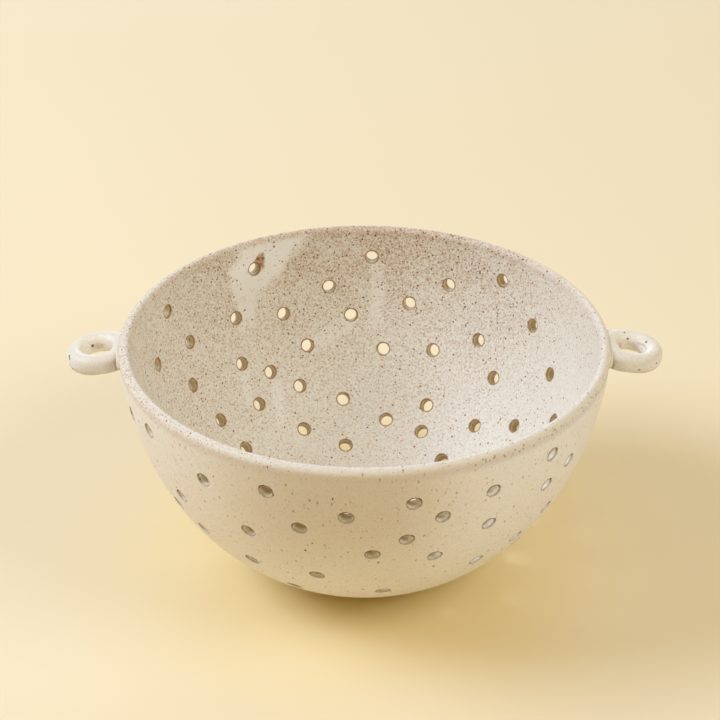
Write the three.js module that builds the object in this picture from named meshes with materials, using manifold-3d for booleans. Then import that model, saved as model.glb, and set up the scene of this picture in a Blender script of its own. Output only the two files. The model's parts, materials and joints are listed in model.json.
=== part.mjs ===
// A berry bowl: a thrown stoneware bowl with drain holes, two ring handles and a foot ring.
// Millimetres, +Z up. The origin is on the table, under the middle of the bowl.
// The handles lie along X, and bearings are counted from the right-hand handle, seen from above.
import * as THREE from 'three';
import { mergeVertices } from 'three/addons/utils/BufferGeometryUtils.js';
import Module from 'manifold-3d';

const wasm = await Module();
wasm.setup();

// Bowl
const RIM_RADIUS = 100;
const BOWL_HEIGHT = 103;
const WALL = 4.6;
const FLOOR_THICKNESS = 4.8;
// The outer wall is a superellipse: (radius / rim)^ROUND_POWER + (drop / reach)^DROP_POWER = 1.
const ROUND_POWER = 2.43;
const DROP_POWER = 1.76;
// How far above the floor the inner wall starts to round into it.
const FLOOR_BLEND = 5;

// Foot ring
const FOOT_RADIUS = 40;
const FOOT_HEIGHT = 3.6;
const FOOT_WIDTH = 8;
const FOOT_TAPER = 2;
const FOOT_ROUND = 1.2;

// Drain holes
const HOLE_RADIUS = 2.75;
const FLOOR_HOLE_RING = 18;
const FLOOR_HOLE_COUNT = 5;
const HOLE_OVERRUN = 4;

// Ring handles, set on by eye, the right one a little higher
const RING_RADIUS = 9.5;
const RING_WIDTH = 7.2;
const RING_HEIGHT = 8.4;
const LEFT_RING_DROP = 8.2;
const RIGHT_RING_DROP = 7.1;
const RING_PRESS = 0.1;
const RING_DROOP = THREE.MathUtils.degToRad(7);

// Slip beads round the handles' joints
const BEAD_MARGIN = 1.2;
const BEAD_DEPTH = 3.4;

// Clearance that every luted joint keeps
const SEAT_GAP = 0.3;

// Facets
const ROUND_SEGMENTS = 48;
const WALL_STEPS = 10;
const LIP_STEPS = 6;
const FLOOR_STEPS = 3;
const FOOT_ROUND_STEPS = 3;
const HOLE_SIDES = 8;
const RING_SEGMENTS = 24;
const RING_SECTION_STEPS = 12;
const BEAD_SEGMENTS = 20;
const BEAD_ROWS = 12;

// The holes are punched by eye in loose rings, top ring first.
// Each is a bearing in degrees, and a drop in hundredths of the bowl's height.
const DRAIN_HOLE_RINGS = [
  [[-160, 16], [-148, 12], [-112, 14], [-79, 16], [-43, 13], [50, 14], [88, 14], [121, 13], [153, 13]],
  [[-129, 19], [-94, 22], [-72, 25], [-60, 18], [-34, 24], [-8, 27], [37, 27], [66, 23], [100, 27],
    [164, 29]],
  [[-105, 30], [-80, 35], [-59, 36], [-42, 29], [-15, 36], [77, 34], [114, 36], [129, 32], [147, 32],
    [180, 33]],
  [[-169, 42], [-147, 48], [-141, 38], [-119, 39], [-88, 43], [-72, 48], [-35, 48], [24, 40], [54, 43],
    [94, 40], [152, 48]],
  [[-139, 55], [-123, 61], [-103, 60], [-57, 61], [-44, 57], [-10, 56], [12, 52], [45, 55], [68, 52],
    [84, 54], [108, 51], [122, 58], [131, 51], [172, 52]],
  [[-172, 64], [-151, 68], [-114, 77], [-84, 73], [-38, 67], [-20, 72], [6, 74], [28, 66], [44, 74],
    [66, 73], [98, 73], [113, 66], [130, 68], [148, 66], [169, 72]],
  [[-162, 84], [-130, 83], [-98, 90], [-64, 89], [-40, 84], [-12, 89], [18, 86], [50, 88], [65, 82],
    [81, 80], [99, 88], [116, 81], [145, 79], [166, 89]],
];

// Heights and reaches that follow from the sizes above
const WALL_DROP = BOWL_HEIGHT - FOOT_HEIGHT;
const FLOOR_HEIGHT = FOOT_HEIGHT + FLOOR_THICKNESS;
const WALL_REACH = WALL_DROP / (1 - (FOOT_RADIUS / RIM_RADIUS) ** ROUND_POWER) ** (1 / DROP_POWER);
const LIP_RADIUS = WALL / 2;
const RING_OUT = RING_RADIUS - RING_PRESS;

// Colours and roughness
const GLAZE_WHITE = 0xe4ded2;
const GLAZE_CREAM = 0xd8ccb4;
const CLAY_BARE = 0xb99f7c;
const GLOSS_ROUGHNESS = 0.35;
const SATIN_ROUGHNESS = 0.4;
const BARE_ROUGHNESS = 0.85;

function pottery(color, roughness) {
  return new THREE.MeshStandardMaterial({ color, roughness, metalness: 0 });
}

// A closed geometry as a solid for joining and cutting
function toSolid(geometry) {
  const bare = geometry.clone();
  bare.deleteAttribute('normal');
  bare.deleteAttribute('uv');
  const merged = mergeVertices(bare);
  const corners = merged.index.array;
  const triangles = [];
  for (let i = 0; i < corners.length; i += 3) {
    const [a, b, c] = [corners[i], corners[i + 1], corners[i + 2]];
    if (a !== b && b !== c && c !== a) {
      triangles.push(a, b, c);
    }
  }
  const vertProperties = Float32Array.from(merged.attributes.position.array);
  const triVerts = Uint32Array.from(triangles);
  return new wasm.Manifold(new wasm.Mesh({ numProp: 3, vertProperties, triVerts }));
}

function toMesh(name, solid, material) {
  const { vertProperties, triVerts } = solid.getMesh();
  const geometry = new THREE.BufferGeometry();
  geometry.setAttribute('position', new THREE.BufferAttribute(Float32Array.from(vertProperties), 3));
  geometry.setIndex(new THREE.BufferAttribute(Uint32Array.from(triVerts), 1));
  geometry.computeVertexNormals();
  const mesh = new THREE.Mesh(geometry, material);
  mesh.name = name;
  return mesh;
}

// A profile of radius and height, turned round the upright axis
function turned(profile, segments) {
  return new THREE.LatheGeometry(profile, segments).rotateX(Math.PI / 2);
}

// Outer wall: radius at a drop below the lip's crest
function wallRadius(drop) {
  return RIM_RADIUS * (1 - (drop / WALL_REACH) ** DROP_POWER) ** (1 / ROUND_POWER);
}

// Outward direction of the wall, as radius and height
function wallNormal(drop) {
  const radial = (ROUND_POWER / RIM_RADIUS) * (wallRadius(drop) / RIM_RADIUS) ** (ROUND_POWER - 1);
  const downward = (DROP_POWER / WALL_REACH) * (drop / WALL_REACH) ** (DROP_POWER - 1);
  return new THREE.Vector2(radial, -downward).normalize();
}

// A point of the wall, moved out by an offset, or in where it is negative
function wallPoint(drop, offset) {
  const point = new THREE.Vector2(wallRadius(drop), BOWL_HEIGHT - drop);
  return point.addScaledVector(wallNormal(drop), offset);
}

// Drops from the lip to the base, closer together where the wall turns under
function wallDrops(first, last) {
  const drops = [];
  const start = Math.asin(first / WALL_REACH);
  const end = Math.asin(last / WALL_REACH);
  for (let i = 0; i <= WALL_STEPS; i += 1) {
    drops.push(WALL_REACH * Math.sin(start + ((end - start) * i) / WALL_STEPS));
  }
  return drops;
}

// The drop where the inner wall comes down to a height
function innerDropAt(height) {
  let low = LIP_RADIUS;
  let high = WALL_DROP;
  let middle = (low + high) / 2;
  while (middle > low && middle < high) {
    if (wallPoint(middle, -WALL).y > height) {
      low = middle;
    } else {
      high = middle;
    }
    middle = (low + high) / 2;
  }
  return middle;
}

// The round lip, from outside over the crest to inside, moved out by an offset
function lipArc(offset) {
  const centre = new THREE.Vector2(wallRadius(LIP_RADIUS) - LIP_RADIUS, BOWL_HEIGHT - LIP_RADIUS);
  const radius = LIP_RADIUS + offset;
  const points = [];
  for (let i = 1; i < LIP_STEPS; i += 1) {
    const turn = (Math.PI * i) / LIP_STEPS;
    points.push(new THREE.Vector2(Math.cos(turn), Math.sin(turn)).multiplyScalar(radius).add(centre));
  }
  return points;
}

// The inside floor rounds from the wall to level at the axis
function floorCurve(blendDrop) {
  const start = wallPoint(blendDrop, -WALL);
  const normal = wallNormal(blendDrop);
  const fall = start.y - FLOOR_HEIGHT;
  const bend = new THREE.Vector2(start.x + (fall * normal.y) / normal.x, FLOOR_HEIGHT);
  return new THREE.QuadraticBezierCurve(start, bend, new THREE.Vector2(0, FLOOR_HEIGHT));
}

function bowlSolid() {
  const blendDrop = innerDropAt(FLOOR_HEIGHT + FLOOR_BLEND);
  const outer = wallDrops(LIP_RADIUS, WALL_DROP).map((drop) => wallPoint(drop, 0)).reverse();
  const inner = wallDrops(LIP_RADIUS, blendDrop).map((drop) => wallPoint(drop, -WALL));
  const floor = floorCurve(blendDrop).getPoints(FLOOR_STEPS).slice(1);
  const base = new THREE.Vector2(0, FOOT_HEIGHT);
  return toSolid(turned([base, ...outer, ...lipArc(0), ...inner, ...floor], ROUND_SEGMENTS));
}

// The space that the bowl fills, grown by the seat gap, which cuts what is luted on to it
function wallCutter() {
  const outer = wallDrops(LIP_RADIUS, WALL_DROP).map((drop) => wallPoint(drop, SEAT_GAP)).reverse();
  const shoulder = lipArc(SEAT_GAP).slice(0, LIP_STEPS / 2);
  const base = new THREE.Vector2(0, outer[0].y);
  const top = new THREE.Vector2(0, BOWL_HEIGHT + SEAT_GAP);
  return toSolid(turned([base, ...outer, ...shoulder, top], ROUND_SEGMENTS));
}

// A round punch along a direction, centred on a point
function punch(centre, direction, length) {
  const geometry = new THREE.CylinderGeometry(HOLE_RADIUS, HOLE_RADIUS, length, HOLE_SIDES);
  const turn = new THREE.Quaternion().setFromUnitVectors(new THREE.Vector3(0, 1, 0), direction);
  geometry.applyQuaternion(turn).translate(centre.x, centre.y, centre.z);
  return toSolid(geometry);
}

function wallPunch([bearing, share]) {
  const drop = (share / 100) * BOWL_HEIGHT;
  const turn = THREE.MathUtils.degToRad(bearing);
  const middle = wallPoint(drop, -WALL / 2);
  const normal = wallNormal(drop);
  const centre = new THREE.Vector3(middle.x * Math.cos(turn), middle.x * Math.sin(turn), middle.y);
  const direction = new THREE.Vector3(normal.x * Math.cos(turn), normal.x * Math.sin(turn), normal.y);
  return punch(centre, direction, WALL + 2 * HOLE_OVERRUN);
}

function floorPunches() {
  const up = new THREE.Vector3(0, 0, 1);
  const height = FOOT_HEIGHT + FLOOR_THICKNESS / 2;
  const length = FLOOR_THICKNESS + 2 * HOLE_OVERRUN;
  const punches = [punch(new THREE.Vector3(0, 0, height), up, length)];
  for (let i = 0; i < FLOOR_HOLE_COUNT; i += 1) {
    const turn = (2 * Math.PI * i) / FLOOR_HOLE_COUNT;
    const out = new THREE.Vector3(Math.cos(turn), Math.sin(turn), 0).multiplyScalar(FLOOR_HOLE_RING);
    punches.push(punch(out.setZ(height), up, length));
  }
  return punches;
}

function bowl() {
  const punches = [...DRAIN_HOLE_RINGS.flat().map(wallPunch), ...floorPunches()];
  const drilled = punches.reduce((solid, cutter) => solid.subtract(cutter), bowlSolid());
  return toMesh('bowl', drilled, pottery(GLAZE_CREAM, SATIN_ROUGHNESS));
}

// The foot tapers a little and has rounded edges where it stands
function footRing() {
  const top = FOOT_HEIGHT - SEAT_GAP;
  const inner = FOOT_RADIUS - FOOT_WIDTH;
  const outer = FOOT_RADIUS - FOOT_TAPER;
  const profile = new THREE.Path();
  profile.moveTo(inner, top);
  profile.lineTo(inner, FOOT_ROUND);
  profile.quadraticCurveTo(inner, 0, inner + FOOT_ROUND, 0);
  profile.lineTo(outer - FOOT_ROUND, 0);
  profile.quadraticCurveTo(outer, 0, outer, FOOT_ROUND);
  profile.lineTo(FOOT_RADIUS, top);
  profile.lineTo(inner, top);
  const solid = toSolid(turned(profile.getPoints(FOOT_ROUND_STEPS), ROUND_SEGMENTS));
  return toMesh('foot_ring', solid, pottery(CLAY_BARE, BARE_ROUGHNESS));
}

// A handle's ring, grown by a margin, on the side given by 1 for right and -1 for left
function ringSolid(side, drop, margin) {
  const halfWidth = RING_WIDTH / 2 + margin;
  const halfHeight = RING_HEIGHT / 2 + margin;
  const section = [];
  for (let i = 0; i <= RING_SECTION_STEPS; i += 1) {
    const turn = (2 * Math.PI * i) / RING_SECTION_STEPS;
    section.push(new THREE.Vector2(RING_RADIUS + halfWidth * Math.cos(turn), halfHeight * Math.sin(turn)));
  }
  const centre = wallRadius(drop) + RING_OUT;
  const geometry = turned(section, RING_SEGMENTS);
  geometry.rotateY(side * RING_DROOP).translate(side * centre, 0, BOWL_HEIGHT - drop);
  return toSolid(geometry);
}

function handleRing(name, side, drop) {
  const solid = ringSolid(side, drop, 0).subtract(wallCutter());
  return toMesh(name, solid, pottery(GLAZE_WHITE, GLOSS_ROUGHNESS));
}

// The slip stands proud of the wall all round the ring's joint
function slipBead(name, side, drop) {
  const rootDrop = drop - RING_OUT * Math.tan(RING_DROOP);
  const halfChord = Math.sqrt((RING_RADIUS + RING_WIDTH / 2) ** 2 - RING_OUT ** 2);
  const geometry = new THREE.SphereGeometry(1, BEAD_SEGMENTS, BEAD_ROWS);
  geometry.scale(BEAD_DEPTH, halfChord + BEAD_MARGIN, RING_HEIGHT / 2 + BEAD_MARGIN);
  geometry.translate(side * wallRadius(rootDrop), 0, BOWL_HEIGHT - rootDrop);
  const solid = toSolid(geometry).subtract(wallCutter()).subtract(ringSolid(side, drop, SEAT_GAP));
  return toMesh(name, solid, pottery(GLAZE_WHITE, GLOSS_ROUGHNESS));
}

const berryBowl = new THREE.Group();
berryBowl.add(bowl());
berryBowl.add(footRing());
berryBowl.add(handleRing('handle_ring_left', -1, LEFT_RING_DROP));
berryBowl.add(handleRing('handle_ring_right', 1, RIGHT_RING_DROP));
berryBowl.add(slipBead('slip_bead_left', -1, LEFT_RING_DROP));
berryBowl.add(slipBead('slip_bead_right', 1, RIGHT_RING_DROP));

export default berryBowl;
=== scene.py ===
"""A stoneware berry bowl in speckled glaze, with drain holes, two ring handles and a foot ring.

The bowl is turned from its profile and drilled with Geometry Nodes. Metres, +Z up, handles along X.
"""

import json
import math

import bmesh
import bpy
import numpy as np
from mathutils import Matrix, Vector

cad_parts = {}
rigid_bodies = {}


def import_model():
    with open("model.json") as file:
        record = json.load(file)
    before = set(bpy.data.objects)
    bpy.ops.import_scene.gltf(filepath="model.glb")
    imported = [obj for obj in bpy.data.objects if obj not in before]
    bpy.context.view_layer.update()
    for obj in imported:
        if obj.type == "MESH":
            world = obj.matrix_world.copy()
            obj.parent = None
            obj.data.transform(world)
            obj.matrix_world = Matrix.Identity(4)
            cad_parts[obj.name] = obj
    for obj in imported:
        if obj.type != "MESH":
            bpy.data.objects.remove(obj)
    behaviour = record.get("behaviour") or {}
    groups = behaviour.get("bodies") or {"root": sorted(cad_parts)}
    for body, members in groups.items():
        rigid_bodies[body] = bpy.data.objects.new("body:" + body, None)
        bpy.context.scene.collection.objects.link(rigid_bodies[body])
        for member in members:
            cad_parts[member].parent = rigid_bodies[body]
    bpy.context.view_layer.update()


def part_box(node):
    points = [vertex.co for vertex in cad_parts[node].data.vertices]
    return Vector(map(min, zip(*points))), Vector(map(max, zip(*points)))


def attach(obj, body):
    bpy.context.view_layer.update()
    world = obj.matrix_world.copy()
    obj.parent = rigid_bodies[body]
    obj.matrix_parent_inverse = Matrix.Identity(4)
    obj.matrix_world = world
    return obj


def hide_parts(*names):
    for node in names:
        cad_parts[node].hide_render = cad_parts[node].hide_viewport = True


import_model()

MM = 0.001


def tone(red, green, blue):
    """A screen colour of 0 to 255 as a linear colour."""
    def linear(level):
        share = level / 255
        return share / 12.92 if share <= 0.04045 else ((share + 0.055) / 1.055) ** 2.4
    return (linear(red), linear(green), linear(blue), 1.0)


# Bowl, with its places taken from the frame where the frame shows them
bowl_low, bowl_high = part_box("bowl")
foot_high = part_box("foot_ring")[1]
RIM_RADIUS = 100 * MM
BOWL_HEIGHT = bowl_high.z
WALL = 4.6 * MM
FLOOR_THICKNESS = 4.8 * MM
ROUND_POWER = 2.43
DROP_POWER = 1.76
FLOOR_BLEND = 5 * MM

# Foot ring
FOOT_RADIUS = foot_high.x
FOOT_HEIGHT = bowl_low.z
FOOT_TOP = foot_high.z
FOOT_WIDTH = 8 * MM
FOOT_TAPER = 2 * MM
FOOT_ROUND = 1.2 * MM

# Drain holes
HOLE_RADIUS = 2.62 * MM
HOLE_ROUND = 0.22 * MM
HOLE_ROUND_SHOWN = 0.7
HOLE_ROUND_TURN = math.radians(60)
HOLE_OVERRUN = 0.5 * MM
FLOOR_HOLE_RING = 18 * MM
FLOOR_HOLE_COUNT = 5

# Ring handles and the slip round their joints, in the order left, right where they differ
RING_RADIUS = 9.5 * MM
RING_WIDTH = 7 * MM
RING_HEIGHT = 8.4 * MM
RING_DROPS = (8.2 * MM, 7.1 * MM)
RING_OUT = 9.4 * MM
RING_DROOP = math.radians(7)
RING_POWER = 2.3
RING_UNEVEN = 0.03
RING_ROOT_SPREAD = 0.3
RING_SWELLS = ((0.05, 0.0), (0.05, 0.25))
BEAD_MARGIN = 1.2 * MM
BEAD_DEPTH = 3.4 * MM
BEAD_FEATHER = 0.03 * MM
CREASE = 0.3 * MM

# Fineness of the meshes
BOWL_SEGMENTS = 256
WALL_STEPS = 72
LIP_STEPS = 16
FLOOR_STEPS = 16
BASE_STEPS = 10
PUNCH_SIDES = 32
PUNCH_ROUND_STEPS = 3
RING_SEGMENTS = 96
RING_SECTION_STEPS = 48
BEAD_RINGS = 24
BEAD_SPOKES = 72
FOOT_SEGMENTS = 160
FOOT_ROUND_STEPS = 6
WELD = 0.002 * MM

# Drain holes as bearing in degrees and drop in hundredths of the bowl's height, top ring first
DRAIN_HOLE_RINGS = [
    [(-160, 16), (-148, 12), (-112, 14), (-79, 16), (-43, 13), (50, 14), (88, 14), (121, 13), (153, 13)],
    [(-129, 19), (-94, 22), (-72, 25), (-60, 18), (-34, 24), (-8, 27), (37, 27), (66, 23), (100, 27),
     (164, 29)],
    [(-105, 30), (-80, 35), (-59, 36), (-42, 29), (-15, 36), (77, 34), (114, 36), (129, 32), (147, 32),
     (180, 33)],
    [(-169, 42), (-147, 48), (-141, 38), (-119, 39), (-88, 43), (-72, 48), (-35, 48), (24, 40), (54, 43),
     (94, 40), (152, 48)],
    [(-139, 55), (-123, 61), (-103, 60), (-57, 61), (-44, 57), (-10, 56), (12, 52), (45, 55), (68, 52),
     (84, 54), (108, 51), (122, 58), (131, 51), (172, 52)],
    [(-172, 64), (-151, 68), (-114, 77), (-84, 73), (-38, 67), (-20, 72), (6, 74), (28, 66), (44, 74),
     (66, 73), (98, 73), (113, 66), (130, 68), (148, 66), (169, 72)],
    [(-162, 84), (-130, 83), (-98, 90), (-64, 89), (-40, 84), (-12, 89), (18, 86), (50, 88), (65, 82),
     (81, 80), (99, 88), (116, 81), (145, 79), (166, 89)],
]

# Sizes that follow from those above
WALL_DROP = BOWL_HEIGHT - FOOT_HEIGHT
FLOOR_HEIGHT = FOOT_HEIGHT + FLOOR_THICKNESS
WALL_REACH = WALL_DROP / (1 - (FOOT_RADIUS / RIM_RADIUS) ** ROUND_POWER) ** (1 / DROP_POWER)
LIP_RADIUS = WALL / 2
HOLE_EDGE = HOLE_RADIUS + HOLE_ROUND_SHOWN * HOLE_ROUND
RING_BORE = RING_RADIUS - RING_WIDTH / 2

# Colours of the glaze, the iron in it and the clay under it, with painted light and shade laid on the glaze,
# and of the paper
GLAZE_INSIDE = tone(237, 234, 225)
GLAZE_OUTSIDE = tone(232, 226, 218)
# Painted shade on the front of the outside wall
OUTSIDE_FRONT_PAINTED_SHADE = tone(220, 210, 199)
# Painted light on the outside wall at the right and low down
OUTSIDE_PAINTED_LIGHT = tone(239, 238, 239)
GLAZE_LIP = tone(232, 227, 219)
# Painted shade in a band under the lip outside, bluer at the right
UNDER_LIP_PAINTED_SHADE = tone(214, 204, 194)
UNDER_LIP_PAINTED_SHADE_RIGHT = tone(213, 207, 216)
GLAZE_THICK = tone(250, 248, 246)
GLAZE_THIN = tone(204, 176, 146)
GLAZE_GRAIN = tone(180, 145, 114)
# Painted shade in the holes' tubes, khaki from the paper's warm bounce, and pale painted light at their
# mouths
TUBE_PAINTED_SHADE_DEEP = tone(230, 221, 194)
TUBE_PAINTED_SHADE_MIDDLE = tone(199, 184, 152)
TUBE_PAINTED_SHADE_FRONT = tone(184, 166, 124)
PAINTED_LIGHT_IN_HOLES = tone(250, 247, 238)
GLAZE_HANDLE = tone(230, 229, 232)
# Painted light on the right ring, paler and cooler
HANDLE_RIGHT_PAINTED_LIGHT = tone(238, 240, 247)
GLAZE_HANDLE_TOP = tone(233, 229, 220)
# Painted shade on the rings' undersides
HANDLE_UNDERSIDE_PAINTED_SHADE = tone(214, 207, 203)
IRON_PALE = tone(176, 130, 76)
IRON_BROWN = tone(134, 84, 32)
IRON_DARK = tone(88, 44, 14)
IRON_RUST = tone(154, 102, 42)
CLAY_BARE = tone(190, 165, 130)
GLAZE_SHINE = 0.3
PAPER = tone(245, 231, 200)
# Painted contact shadow on the paper round the foot
PAPER_CONTACT_SHADE = tone(247, 228, 176)
BLACK = tone(0, 0, 0)

# The finishes measure in millimetres, and give bearings in degrees. A pair or a four is a soft edge: where
# it starts and ends, and the values there if they aren't 0 and 1. A reach is in from the bowl's outer face or
# out from an axis, a drop is down from the rim, a turn is how squarely a place lies towards a bearing, and a
# level is a strength of the noise. A tint is how much of a colour shows.

# Detail of the noise, from smooth to craggy
SMOOTH = 1
SOFT = 2
ROUGH = 3
CRAGGY = 4

# Zones of the bowl's glaze: inside, lip, back, painted shade under the lip, thin glaze, dust and the holes'
# tubes and edges, where the tubes hold painted light and shade
INSIDE_REACH = (2.2, 3.8)
LIP_DROP = (5, 2)
BACK_TURN = (-0.3, 0.2)
BACK_LIP_TURN = (0.2, 0.9)
UNDER_LIP_START = (1.5, 3)
UNDER_LIP_END = (6.5, 4)
UNDER_LIP_REACH = (1.2, 0.4)
CLOUD_GRAIN = 14
THIN_BEARING = 90
THIN_TURN = (0.3, 1.0)
THIN_DROP = (58, 4)
THIN_CLOUDS = (0.15, 0.7)
DUST_BEARING = 130
DUST_TURN = (-0.8, 0.5)
DUST_DROP = (105, 50, 0.3, 1)
DUST_CLOUDS = (0.0, 0.6, 0.4, 1)
RIM_DUST_DROP = (40, 8, 0, 0.6)
TUBE_SLACK = 0.05
TUBE_FRONT_REACH = (0.8, 3.0)
TUBE_BACK_REACH = (0.1, 0.6)
TUBE_DEEP_REACH = (2.4, 3.6)
INNER_EDGE_REACH = (3.6, 4.3)
OUTER_EDGE_REACH = (1.0, 0.3)

# Tints of the bowl's glaze, and where painted shade lies at the front and under the lip and painted light at
# the right and low down outside
FRONT_BEARING = -88
FRONT_TURN = (0.75, 1.0)
FRONT_DROP = (70, 20)
RIGHT_BEARING = -35
RIGHT_TURN = (0.65, 0.95)
LOW_DROP = (55, 90, 0.0, 0.5)
FLOOR_DROP = (70, 95, 0.0, 0.4)
RUN_FADE_DROP = (26, 8, 0.3, 1)
RUN_CLEARING = 0.85
UNDER_LIP_SHADE_TINT = 0.55
BACK_LIP_TINT = 0.22
THIN_TINT = 0.24
GRAIN = 0.95
GRAIN_LEVELS = (0.36, 0.7)
GRAIN_TINT = 0.16
DUSTY_GRAIN_TINT = 0.28
THIN_GRAIN_TINT = 0.34

# Layers of iron specks inside: spacing, size, share of places that hold one where the glaze is dusty and
# where it is thin, seed, tint and colour
INSIDE_SPECKS = [
    (0.95, 0.50, 0.68, 0.30, 3, 0.58, IRON_PALE),
    (1.6, 0.54, 0.37, 0.95, 11, 1.0, IRON_BROWN),
    (3.0, 0.58, 0.19, 0.95, 23, 0.85, IRON_DARK),
]
# Layers outside, drawn out down the wall: spacing, size, share, seed, tint and colour
OUTSIDE_SPECKS = [
    (1.6, 0.5, 0.45, 31, 0.4, IRON_PALE),
    (2.9, 0.55, 0.8, 37, 0.55, IRON_BROWN),
    (5.5, 0.6, 0.6, 43, 0.8, IRON_DARK),
]
DRAWN_DOWN = (1, 1, 0.5)
# Single scatters: spacing, size, share and seed
LIP_SPECKS = (1.4, 0.7, 0.8, 41)
HANDLE_SPECKS = (4.6, 0.6, 0.2, 59)
SLIP_SPECKS = (2.2, 0.5, 0.6, 67)
CLAY_SPECKS = (2.0, 0.5, 0.6, 71)
LIP_IRON_BEARING = -42
LIP_IRON_TURN = (0.86, 0.97)
LIP_IRON_START = (0.8, 1.8)
LIP_IRON_END = (4.2, 2.6)
LIP_SPECK_TINT = 0.6
SLIP_SPECK_TINT = 0.55
CLAY_SPECK_TINT = 0.7
# Rusty lines round the holes: the edge they lie on, width, tint below the hole and colour
HOLE_RUST = [
    ("inner edge", 0.6, 0.95, IRON_RUST),
    ("outer edge", 0.6, 0.6, IRON_DARK),
]
HOLE_RUST_OUT = 0.12
HOLE_RUST_RISE = (-1, 2)

# Ragged edges of specks and spots, and the spread of the specks' sizes, as a factor and what is added to it
FRAY_GRAIN = 0.6
SPECK_FRAY = (0.7, 0.65)
SPECK_SPREAD = (0.6, 0.4)
SPECK_CORE = 0.65
SPOT_FRAY = (0.9, 0.55)
SPOT_CORE = 0.6
# Edges of a run, as shares of its width and length
RUN_WANDER_GRAIN = 9
RUN_WANDER = 0.6
RUN_SIDE = (0.62, 0.34)
RUN_START = (-1, 2)
RUN_END = (1.0, 0.6)
# Breaks in a rusty line
RUST_CORE = 0.2
RUST_GRAIN = 2.2
RUST_LEVELS = (0.30, 0.62)
RUST_BREAKS = (0.35, 0.65)
# Throwing rings and ripple in a skin, and each finish's height of both
THROWING_DRIFT_GRAIN = 40
THROWING_DRIFT = 9
THROWING_PITCH = 0.75
THROWING_SHARE = 0.25
FINGER_GRAIN = 16
RIPPLE_GRAIN = 2.4
BOWL_SKIN = (0.10, 0.03)
HANDLE_SKIN = (0.2, 0.05)
SLIP_SKIN = (0.16, 0.05)
CLAY_SKIN = (0.05, 0.06)
RUN_SWELL = 0.05
STREAK_SWELL = 0.12
SAND_SWELL = 0.05
# Roughness, as a factor of each finish's pattern and what is added to it
BOWL_SATIN = (0.12, 0.42)
RUN_GLOSS = -0.1
HANDLE_SATIN = (0.2, 0.42)
SLIP_SATIN = (0.15, 0.34)
CLAY_MATT = (0.2, 0.7)

# Handles, with painted light on the right ring and in the rings' holes, painted shade on their undersides,
# and iron and painted shade at their roots
RIGHT_RING_BEARING = 0
RIGHT_RING_TURN = (-0.5, 0.5)
HANDLE_TOP_DROP = (7.5, 5.0)
HANDLE_SHADE_DROP = (8.8, 11.5)
INNER_SIDE_SLACK = 1
HOLE_LIGHT_TINT = 0.8
HANDLE_CLOUD_GRAIN = 5
HANDLE_CLOUDS = (0.4, 0.9)
HANDLE_GRAIN_TINT = 0.18
ROOT_REACH = (2.6, 1.9)
ROOT_SHADE_REACH = (8, 3, 0, 0.36)
ROOT_DROP = (3.5, 6.0)
ROOT_IRON_AND_SHADE_TINT = 0.55
BORE_RUST_IN = 0.2
BORE_RUST_WIDTH = 0.3
BORE_RUST_TINT = 0.3
SPOT_TINT = 0.85

# Slip, clay and paper, with the painted contact shadow on the paper
SLIP_THIN_REACH = (0.9, 0.05)
SLIP_STRETCH = (1, 1, 0.3)
STREAK_GRAIN = 2.0
STREAK_LEVELS = (0.3, 0.7)
SLIP_THIN_LEVELS = (0.25, 0.7)
SLIP_THIN_TINT = 0.45
CLAY_CLOUD_GRAIN = 9
CLAY_CLOUDS = (0.3, 0.7)
SAND_GRAIN = 0.5
PAPER_GRAIN = 1.5
PAPER_GRAIN_TINT = 0.03
CONTACT_SHADE_REACH = (145, 45, 0, 0.97)
PAPER_FAR_REACH = (700, 1400)
PAPER_MATT = 0.9
PAPER_SHINE = 0.2

# Runs of thick glaze inside: bearing in degrees, top, length, widths at top and end, lean, and tint
GLAZE_RUNS = [
    (114.9, 1.2, 30.8, 42, 5, 0.62, 1.0),
    (125, 14, 30, 12, 8, 0.05, 0.9),
    (86.5, 15, 36, 7, 7, 0.0, 0.55),
    (94.5, 40, 15, 13, 12, 1.3, 0.6),
    (131, 54, 16, 5, 4, 0.25, 0.6),
    (120.5, 61, 20, 5, 4, 0.30, 0.6),
]
# The smear of iron beside one hole, in the same order, and its patches
IRON_SMEAR = (118.7, 6, 9, 2.5, 10, 0.45, 1.0)
SMEAR_TINT = 0.8
SMEAR_GRAIN = 1.1
SMEAR_LEVELS = (0.45, 0.6)
# Iron spots on the left and the right ring: degrees round the ring, degrees round its section, size
RING_SPOTS = [
    [(206, 45, 0.8), (211, 33, 0.65), (309, 34, 1.0), (118, 170, 0.8), (217, -25, 0.6)],
    [(28, 135, 0.75), (108, 105, 0.6), (100, 150, 0.6), (280, -15, 0.5)],
]

# Lamps as name, bearing and elevation in degrees, watts and colour
LAMPS = [
    ("key", 180, 42, 25.4, (0.685, 0.79, 1.0)),
    ("fill", 333, 42, 11, (0.84, 0.90, 1.0)),
    ("back", 90, 20, 9.5, (0.48, 0.68, 1.0)),
]
LAMP_SIZE = 0.9
LAMP_DISTANCE = 1.8
LAMP_AIM = Vector((0, 0, 0.05))
WORLD_LIGHT = (0.456, 0.343, 0.132, 1.0)

# Camera, fitted to the rim's ellipse in the photograph
IMAGE_PIXELS = 720
FOCAL_PIXELS = 2209
RIM_CENTRE_PIXEL = (365.1, 336)
CAMERA_DISTANCE = 900 * MM
CAMERA_ELEVATION = math.radians(30.1)
SENSOR_MM = 36
CLIP_START = 10 * MM
FLOOR_HALF = 3

# Places of a colour Mix node's sockets, which share their names with its other kinds
MIX_FACTOR = 0
MIX_UNDER = 6
MIX_OVER = 7
MIX_RESULT = 2


# Node helpers

def feed(tree, socket, value):
    """Link a socket to a socket, or set its value."""
    if isinstance(value, bpy.types.NodeSocket):
        tree.links.new(value, socket)
    else:
        socket.default_value = value


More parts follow.
